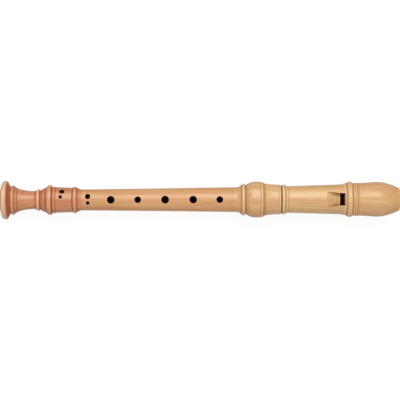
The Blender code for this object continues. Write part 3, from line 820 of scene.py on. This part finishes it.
# %% Tan wood
MIDDLE_WOOD = fruitwood(
    "oiled_middle_wood",
    {
        "pale": (0.715, 0.365, 0.125), "warm": (0.61, 0.255, 0.06),
        "blush": (0.665, 0.325, 0.1), "ring": (0.49, 0.17, 0.045),
        "end": (0.49, 0.18, 0.055), "crest": (0.855, 0.53, 0.305),
        "groove": (0.38, 0.13, 0.03), "bore": (0.055, 0.014, 0.01),
    },
    pith=(28.0, -30.0, -0.03, 2.1),
    bore=6.6,
    outer=(9.35, 0.0125),
    seed=2.0,
    # The faint pale ring below the head is a painted highlight.
    rings=((67.2, 0.5, "warm", 0.7), (192.4, 0.9, "crest", 0.12), (194.2, 0.3, "pale", 0.8)),
    warm_end=(-90.0, -40.0, 0.35),
)
print(MIDDLE_WOOD.name, len(MIDDLE_WOOD.node_tree.nodes), "nodes")

# %% [markdown]
# ## The wood of the foot
#
# The foot is the reddest, with many dark lines between its beads, partly painted shade. The lip of
# the bell and the bead at the neck carry cream painted highlights.

# %% Reddish wood
FOOT_WOOD = fruitwood(
    "oiled_foot_wood",
    {
        "pale": (0.645, 0.27, 0.082), "warm": (0.545, 0.155, 0.033),
        # Lip and cream are the colours of painted highlights on the bell's lip and the neck bead.
        "lip": (0.88, 0.475, 0.285), "blush": (0.595, 0.17, 0.05),
        "ring": (0.41, 0.095, 0.025), "end": (0.41, 0.085, 0.025),
        "crest": (0.765, 0.39, 0.195), "cream": (0.855, 0.57, 0.295),
        "groove": (0.36, 0.075, 0.02), "deep": (0.24, 0.045, 0.012),
        "bore": (0.10, 0.018, 0.012),
    },
    pith=(-26.0, -24.0, 0.02, 2.0),
    bore=5.3,
    outer=(5.9, -0.0373),
    seed=3.0,
    # The dark rings are grooves and painted shade on the steep faces behind the lip and the last
    # bead; the pale ring on the band is a painted highlight.
    rings=(
        (3.7, 1.3, "lip", 0.8), (7.0, 0.35, "deep", 0.6), (12.3, 0.2, "groove", 0.6),
        (14.75, 0.2, "groove", 0.6), (31.4, 0.35, "cream", 0.75), (33.5, 0.3, "groove", 0.3),
        (34.9, 0.3, "groove", 0.75), (37.4, 0.25, "groove", 0.75), (40.75, 1.0, "crest", 0.4),
        (42.75, 0.25, "groove", 0.5), (45.75, 0.2, "groove", 0.5), (59.85, 0.3, "groove", 0.8),
        (63.5, 0.4, "deep", 0.45), (66.5, 0.3, "warm", 0.6),
    ),
)
print(FOOT_WOOD.name, len(FOOT_WOOD.node_tree.nodes), "nodes")

# %% [markdown]
# ## The foot joint
#
# The foot is the most turned of the three joints. Its bell has a thick round lip, then a bead, a
# long flare, a thin neck with a pale bead, a broad band, and a barrel that holds the little
# finger's two holes. Its mouth widens inside into the socket for the tenon.

# %% Turn and drill the foot
LOWER_SHOULDER = 66.85
FOOT_SOCKET = 15.1
FOOT_SOCKET_END = 54.85
FOOT_BORE_TOP, BELL_BORE = 10.2, 9.8
BARREL_LENGTH, BARREL_LOW, BARREL_HIGH = 13.8, 20.95, 20.05
foot = Line(0.0, 12.4)
foot.settle(4.3, WIDEST, 3.2)
foot.straight(1.1, WIDEST)
foot.ess(3.3, 22.4)
foot.straight(0.5, 22.3)
foot.bead(2.7, 0.95, 22.0)
foot.straight(0.4, 21.4)
foot.bead(2.0, 0.2, 19.4)
foot.straight(0.3, 19.0)
foot.settle(13.85, 14.6, 2.0)
foot.straight(1.6, 15.9, FINE)
foot.bead(2.7, 0.95, 15.7)
foot.straight(0.3, 15.7)
foot.straight(1.2, 17.4, FINE)
foot.straight(0.5, 17.6)
foot.bead(1.8, 0.22, 19.6)
foot.straight(0.5, 19.7)
foot.straight(2.7, 24.3, FINE)
foot.straight(2.4, 24.3)
foot.step(21.3)
foot.straight(1.4, 21.2)
foot.bead(1.6, 0.5, BARREL_LOW)
foot.straight(BARREL_LENGTH, BARREL_HIGH)
foot.step(19.4)
foot.straight(0.5, 19.4)
foot.bead(3.4, 1.0, 19.95)
foot.settle(LOWER_SHOULDER - 0.02 - foot.points[-1][0], 17.2, 1.4)
MOUTH = foot.points[-1][0]
foot.step(FOOT_SOCKET)
foot.straight(FOOT_SOCKET_END - MOUTH, FOOT_SOCKET)
foot.step(FOOT_BORE_TOP)
foot.straight(-FOOT_SOCKET_END, BELL_BORE)
print(f"the foot's mouth is at {MOUTH:.2f} mm")
BARREL_TAPER = (BARREL_HIGH - BARREL_LOW) / 2 / BARREL_LENGTH
FOOT_HOLES = [
    (51.1, 4.5, 43.0, 28.5, 20.57, BARREL_TAPER),
    (50.0, 2.8, 15.2, 28.5, 20.62, BARREL_TAPER),
]
FOOT = turn_piece("turned_foot", foot, FOOT_WOOD, FOOT_HOLES)

# %% [markdown]
# ## The middle joint
#
# A plain tube with a slight taper carries six finger holes, the lowest of them double, and the
# thumb hole at the back. Each end is cut down to a tenon with a groove for its cork.

# %% Turn and drill the middle joint
UPPER_SHOULDER = 194.45
TUBE_LENGTH = UPPER_SHOULDER - LOWER_SHOULDER
TUBE_LOW = 17.15
TUBE_HIGH = 20.35
TUBE_SWELL = 1.2
middle = Line(55.35, 13.4)
middle.straight(0.5, 14.4)
middle.straight(1.3, 14.4)
middle.step(12.5)
middle.straight(7.5, 12.5)
middle.step(14.4)
middle.straight(2.2, 14.4)
middle.step(TUBE_LOW)
middle.drawn(TUBE_LENGTH, TUBE_HIGH, lambda t: (t, t**TUBE_SWELL), COARSE)
middle.step(17.9)
middle.straight(3.0, 17.9)
middle.step(15.6)
middle.straight(12.5, 15.6)
middle.step(17.9)
middle.straight(3.5, 17.9)
middle.straight(0.5, 16.9)
middle.step(13.0)
middle.straight(-19.5, 13.0)
middle.straight(-127.6, 10.6)
middle.straight(-11.5, 10.6)


def on_tube(x, diameter, turn=0.0, drill_turn=None):
    """A hole of the tube, with the tube's own diameter and slope there."""
    drill_turn = turn if drill_turn is None else drill_turn
    t = (x - LOWER_SHOULDER) / TUBE_LENGTH
    swell = TUBE_HIGH - TUBE_LOW
    slope = swell / 2 * TUBE_SWELL * t ** (TUBE_SWELL - 1) / TUBE_LENGTH
    return x, diameter, turn, drill_turn, TUBE_LOW + swell * t**TUBE_SWELL, slope


MIDDLE_HOLES = [
    on_tube(72.15, 4.3, 18.5, 1.0),
    on_tube(72.25, 3.0, -17.0, 1.0),
    on_tube(91.0, 6.3),
    on_tube(113.0, 5.35),
    on_tube(135.35, 6.4),
    on_tube(158.2, 6.15),
    on_tube(179.8, 5.45),
    on_tube(186.9, 5.4, 180.0),
]
MIDDLE = turn_piece("turned_middle", middle, MIDDLE_WOOD, MIDDLE_HOLES)

# %% [markdown]
# ## Solids to cut with
#
# The head's voice is cut by hand with files and a long thin chisel, and no cut there is round.
# Each is made here as a solid lofted through sections, and each section lies between a lower and
# an upper arch, because the windway and the labium follow the round of the bore. Boolean
# modifiers then take these solids out of the turned head.

# %% Arches and lofts
BORE = 6.9
ARCH_POINTS = 25


def arch(x, width, height, radius):
    """Points across an arch whose crown is at this height above the axis."""
    ys = np.linspace(-width / 2, width / 2, ARCH_POINTS)
    return [(x, y, height - radius + math.sqrt(max(radius**2 - y**2, 0.0))) for y in ys]


def level(x, width, height):
    return [(x, y, height) for y in np.linspace(-width / 2, width / 2, ARCH_POINTS)]


def solid_through(name, rings):
    """A closed cutter whose skin runs through rings of points."""
    mesh = bpy.data.meshes.new(name)
    shape = bmesh.new()
    skin = []
    for ring in rings:
        places = [(BELL_END + x * MM, y * MM, AXIS + z * MM) for x, y, z in ring]
        skin.append([shape.verts.new(place) for place in places])
    for near, far in zip(skin, skin[1:]):
        for i in range(len(near)):
            j = (i + 1) % len(near)
            shape.faces.new((near[i], near[j], far[j], far[i]))
    shape.faces.new(skin[0])
    shape.faces.new(skin[-1][::-1])
    bmesh.ops.recalc_face_normals(shape, faces=shape.faces)
    shape.to_mesh(mesh)
    shape.free()
    return plain_object(name, mesh)


def lofted(name, sections):
    """A cutter through sections, each a lower and an upper arch."""
    return solid_through(name, [lower + upper[::-1] for lower, upper in sections])


print("an arch has", len(arch(0.0, 10.0, BORE, BORE)), "points")

# %% [markdown]
# ## The window and the labium
#
# Breath crosses the window and splits on the labium, the thin edge of a long slope cut into the
# head's wall. The window is a plain box cut down into the bore. A second cutter flares its upper
# edges, which the maker eases with a file, and a third takes off the slope.

# %% Cut the window, its eased edges and the ramp
WINDOW_END = 281.85
LABIUM_EDGE = 277.85
WINDOW_WIDTH = 10.1
EASED_WIDTH = 16.8
RAMP_LENGTH = 10.6
CLEAR = 17.0


def eased_window():
    """A cutter that flares the upper edges of the window, and fades out along the ramp."""
    before = LABIUM_EDGE - 3.0
    near = WINDOW_END - 0.05
    past = WINDOW_END + 1.0
    sections = [
        (level(before, WINDOW_WIDTH, 13.2), level(before, EASED_WIDTH, CLEAR)),
        (level(near, WINDOW_WIDTH, 11.3), level(near, EASED_WIDTH, CLEAR)),
        (arch(WINDOW_END, WINDOW_WIDTH, 12.4, 12.4), level(WINDOW_END, EASED_WIDTH, CLEAR)),
        (arch(past, WINDOW_WIDTH, 13.4, 13.4), level(past, EASED_WIDTH, CLEAR)),
    ]
    return lofted("window_ease", sections)


def labium_ramp():
    """A cutter that slopes from the edge of the labium up to the head's surface and beyond."""
    edge = arch(LABIUM_EDGE, WINDOW_WIDTH + 0.16, BORE + 0.35, BORE + 0.35)
    start = arch(LABIUM_EDGE - RAMP_LENGTH, 12.4, 11.72, 14.5)
    sections = []
    for t in np.linspace(-0.2, 1.2, 25):
        pairs = zip(edge, start)
        lower = [tuple(a + (b - a) * t for a, b in zip(low, high)) for low, high in pairs]
        sections.append((lower, [(x, y, CLEAR) for x, y, _ in lower]))
    return lofted("labium_ramp", sections)


window_ends = [
    (level(x, WINDOW_WIDTH, 0.0), level(x, WINDOW_WIDTH, CLEAR)) for x in (LABIUM_EDGE, WINDOW_END)
]
window = lofted("window", window_ends)
ease_cut = eased_window()
ramp = labium_ramp()
print(f"cut-up {WINDOW_END - LABIUM_EDGE:.1f} mm, window {WINDOW_WIDTH} mm wide")

# %% [markdown]
# ## The windway and the beak
#
# The windway is a flat arched slot from the tip of the beak to the window. The head holds its
# roof and the block its floor, so each gets a cutter of its own. The hollow under the beak, where
# the lower lip lies, is one sweep of a wide drum.

# %% Cut the windway and the hollow of the beak
EXIT_END = (WINDOW_END - 2.0, 9.9)
ENTRY_END = (LENGTH + 2.0, 11.4)
FLOOR = 6.45


def windway(name, exit_radii, entry_radii):
    """A slot between two arches round the axis of the bore, from the window to beyond the tip."""
    sections = []
    for end, radii in ((EXIT_END, exit_radii), (ENTRY_END, entry_radii)):
        sections.append([arch(*end, radius, radius) for radius in radii])
    return lofted(name, sections)


def beak_hollow():
    """A drum lying across, whose rim passes through the point under the beak where the hollow
    starts and through one just under the axis at the tip."""
    drum, length, start, tip = 60.0, 33.0, 14.05, 1.0
    fall = start - tip
    chord = math.hypot(length, fall)
    reach = math.sqrt(drum**2 - chord**2 / 4)
    x = LENGTH - length / 2 + reach * fall / chord
    z = -(start + tip) / 2 - reach * length / chord
    angles = np.linspace(0, math.tau, 721)[:-1]
    rim = [(x + drum * math.cos(a), z + drum * math.sin(a)) for a in angles]
    return solid_through("beak_hollow", [[(x, y, z) for x, z in rim] for y in (-18.0, 18.0)])


roof = windway("windway_roof", (BORE - 0.3, BORE + 0.5), (BORE - 0.3, BORE + 0.9))
floor_cut = windway("windway_floor", (FLOOR, 9.0), (FLOOR, 9.0))
beak = beak_hollow()
print("cutters:", window.name, ease_cut.name, ramp.name, roof.name, floor_cut.name, beak.name)

# %% [markdown]
# ## The head joint
#
# From its mouth the head rises over a bead into the round bulb that surrounds the socket, falls
# into a cove, and runs on as a slowly thickening body to the window. A thick ring marks the
# window's end, and the beak swells once more before it falls to the tip.

# %% Turn and cut the head
HEAD_MOUTH = 194.55
HEAD_SOCKET = 18.6
HEAD_SOCKET_END = 214.45
head = Line(HEAD_MOUTH, 20.6)
head.leave(3.45, 24.7, 1.35)
head.bead(2.6, 0.98, 23.8)
head.straight(0.5, 23.8)
head.settle(8.3, 29.5, 2.2)
head.leave(5.9, 28.3, 1.8)
head.straight(0.5, 26.9, FINE)
head.straight(0.8, 26.4)
head.settle(11.6, 24.2, 2.0)
head.bead(1.6, 0.42, 23.1)
head.step(22.6)
head.straight(0.8, 22.6)
head.bead(2.6, 0.9, 23.2)
head.settle(2.6, 21.8, 1.6)
head.straight(275.95 - head.points[-1][0], 24.3)
head.leave(6.3, 25.9, 2.4)
head.step(26.3)
head.straight(0.95, 26.4)
head.straight(0.4, 26.1, FINE)
head.bead(4.7, 1.25, 26.7)
head.straight(0.8, 26.6)
head.straight(1.5, 26.9)
head.bead(0.9, 0.25, 26.6)
head.straight(0.4, 26.5)
head.bead(1.1, 0.3, 26.7)
head.ess(16.4, 28.4)
head.leave(LENGTH - head.points[-1][0], 18.4, 1.75)
head.step(2 * BORE)
head.straight(HEAD_SOCKET_END - LENGTH, 2 * BORE)
head.step(HEAD_SOCKET)
head.straight(HEAD_MOUTH - HEAD_SOCKET_END, HEAD_SOCKET)
HEAD = turn_piece("turned_head", head, HEAD_WOOD, cutters=(window, ease_cut, ramp, roof, beak))

# %% [markdown]
# ## The block
#
# The block is a plug of red cedar, which swells little when it takes up breath. Its top is cut to
# the same arch as the windway's roof, and its end shows under the tip of the beak.

# %% Cedar and the block
CEDAR = fruitwood(
    "bare_cedar",
    {
        "pale": (0.54, 0.25, 0.115), "warm": (0.42, 0.16, 0.07),
        "blush": (0.48, 0.18, 0.095), "ring": (0.25, 0.075, 0.035),
        "end": (0.40, 0.155, 0.075), "crest": (0.58, 0.29, 0.15),
        "groove": (0.28, 0.09, 0.05), "bore": (0.05, 0.02, 0.01),
    },
    pith=(14.0, -18.0, 0.01, 1.2),
    bore=0.0,
    seed=4.0,
    gloss=0.0,
    contrast=0.6,
)
block = Line(WINDOW_END, 0.0)
block.step(12.7)
block.straight(0.5, 13.6)
block.straight(LENGTH - WINDOW_END - 0.5, 13.6)
block.step(0.0)
BLOCK = turn_piece("cedar_block", block, CEDAR, cutters=(floor_cut, beak))

# %% [markdown]
# ## The tenon corks
#
# A strip of cork is glued round each tenon and greased, so that the joints slide together and
# stay airtight. Pressed into its groove it bulges a little. Its cells give a speckle of light and
# dark grains with a few deep brown pits. Cells of a Voronoi pattern look most like it, one shade
# to a cell, where plain noise would look like felt.

# %% Cork and its two rings
def cork_finish():
    material, bench = new_finish("greased_cork")
    place = in_mm(bench)
    cells = bench.add("ShaderNodeTexVoronoi", {"Vector": place, "Scale": 1.3}, "Color")
    shade = bench.add("ShaderNodeSeparateColor", {"Color": cells}, "Red")
    pits = bench.between(noise(bench, place, 0.9, 3.0, 0.6), 0.62, 0.7)
    speckle = noise(bench, place, 5.0, 3.0)
    colour = mixed(bench, shade, (0.36, 0.20, 0.09), (0.58, 0.38, 0.20))
    colour = mixed(bench, pits * 0.8, colour, (0.12, 0.05, 0.025))
    relief = speckle * 0.4 + shade * 0.3 - pits
    bump = bumped(bench, relief, 0.6, 0.1 * MM)
    values = {"Base Color": colour, "Roughness": 0.62 + speckle * 0.3, "Normal": bump}
    return finished(material, bench, values)


CORK = cork_finish()


def cork_ring(name, start, width, inner, outer):
    ring = Line(start, inner)
    ring.step(outer - 0.5)
    ring.bead(width, 0.25, outer - 0.5)
    ring.step(inner)
    ring.straight(-width, inner)
    return turn_piece(name, ring, CORK)


LOWER_CORK = cork_ring("lower_cork_ring", 57.45, 6.9, 13.1, 14.5)
UPPER_CORK = cork_ring("upper_cork_ring", 197.75, 11.9, 16.2, 18.0)

# %% [markdown]
# ## Onto the frame
#
# Each finished piece takes the place of its plain part and moves with that part's body, so the
# head can be turned or pulled off and the block pushed out.

# %% Ride and replace
for cutter in (window, ease_cut, ramp, roof, floor_cut, beak):
    bpy.data.objects.remove(cutter, do_unlink=True)
for piece, body, node, slot in (
    (FOOT, "foot", "foot_joint", "foot_wood"),
    (MIDDLE, "middle", "middle_joint", "middle_wood"),
    (HEAD, "head", "head_joint", "head_wood"),
    (BLOCK, "block", "block", "block_cedar"),
    (LOWER_CORK, "lower_cork", "lower_tenon_cork", "cork"),
    (UPPER_CORK, "upper_cork", "upper_tenon_cork", "cork"),
):
    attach(piece, body)
    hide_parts(node)
    print(f"{piece.name} rides on {body}")

# %% [markdown]
# ## A white table
#
# The instrument lies on a plain pale table under a white room. More light would turn the table
# white but wash out the wood, so the table only shows as white to the camera: a steady glow is
# added to a dark matt colour, which still takes the soft shadow that holds the instrument down.

# %% The table
WHITE = (1.0, 1.0, 1.0, 1.0)
table_mesh = bpy.data.meshes.new("table")
table_mesh.from_pydata([(-2, -2, 0), (2, -2, 0), (2, 2, 0), (-2, 2, 0)], [], [(0, 1, 2, 3)])
TABLE = plain_object("table", table_mesh)
material, bench = new_finish("white_table")
seen = bench.add("ShaderNodeLightPath", {}, "Is Camera Ray")
matt = bench.add("ShaderNodeBsdfDiffuse", {"Color": (0.5, 0.5, 0.5, 1.0)})
shade = bench.add("ShaderNodeBsdfDiffuse", {"Color": (0.16, 0.16, 0.16, 1.0)})
glow = bench.add("ShaderNodeEmission", {"Color": WHITE, "Strength": 0.88})
bright = bench.add("ShaderNodeAddShader", {0: shade, 1: glow})
blend = bench.add("ShaderNodeMixShader", {0: seen, 1: matt, 2: bright})
bench.add("ShaderNodeOutputMaterial", {"Surface": blend})
table_mesh.materials.append(material)
print("table 4 m square")

# %% [markdown]
# ## Studio light
#
# The photograph shows one broad bright band a little above the middle of every round part, which
# is the reflection of a large soft light above and behind the instrument. A small lamp would give
# a thin hard line instead. The room gives the rest: it looks white, and lights a little dimmer.

# %% The lamp and the room
def soft_lamp(name, degrees, width, depth, energy):
    """A soft box a metre off, leaning over the instrument from above by this angle."""
    light = bpy.data.lights.new(name, "AREA")
    light.shape = "RECTANGLE"
    light.size = width
    light.size_y = depth
    light.energy = energy
    angle = math.radians(degrees)
    box = plain_object(name, light)
    box.location = (0.0, math.sin(angle), math.cos(angle))
    box.rotation_euler = (-angle, 0.0, 0.0)
    return box


key = soft_lamp("soft_key", 36, 0.72, 0.72, 3.5)

world = bpy.data.worlds.new("white_room")
bpy.context.scene.world = world
world.use_nodes = True
world.node_tree.nodes.clear()
bench = Bench(world.node_tree)
path = bench.add("ShaderNodeLightPath", {}, "Is Camera Ray")
shown = path.maths("MAXIMUM", path, path.another("Is Glossy Ray"))
shown = shown.maths("MAXIMUM", shown, path.another("Is Transmission Ray"))
ROOM = 0.78
strength = ROOM + shown * (1.0 - ROOM)
air = bench.add("ShaderNodeBackground", {"Color": WHITE, "Strength": strength})
bench.add("ShaderNodeOutputWorld", {"Surface": air})
print("key", [round(v, 3) for v in key.location], "room", ROOM)

# %% [markdown]
# ## The camera
#
# The rings of the instrument bow outwards in the photograph, more towards its ends, which only a
# near camera gives. From the size of the bow the camera stood a little over a metre away, square
# above the middle of the instrument.

# %% The camera
CAMERA_DISTANCE = 1.15
PICTURE_WIDTH = 0.328
OFF_CENTRE = (0.275 * MM, -0.29 * MM)
OFF_LEVEL = math.radians(-0.13)
eye = bpy.data.cameras.new("camera")
eye.sensor_width = 36.0
eye.lens = eye.sensor_width * CAMERA_DISTANCE / PICTURE_WIDTH
camera = plain_object("camera", eye)
camera.location = (*OFF_CENTRE, AXIS + CAMERA_DISTANCE)
camera.rotation_euler = (0.0, 0.0, OFF_LEVEL)
bpy.context.scene.camera = camera
bpy.context.scene.view_settings.view_transform = "Standard"
print(f"lens {eye.lens:.1f} mm")

# %% [markdown]
# ## Finish
#
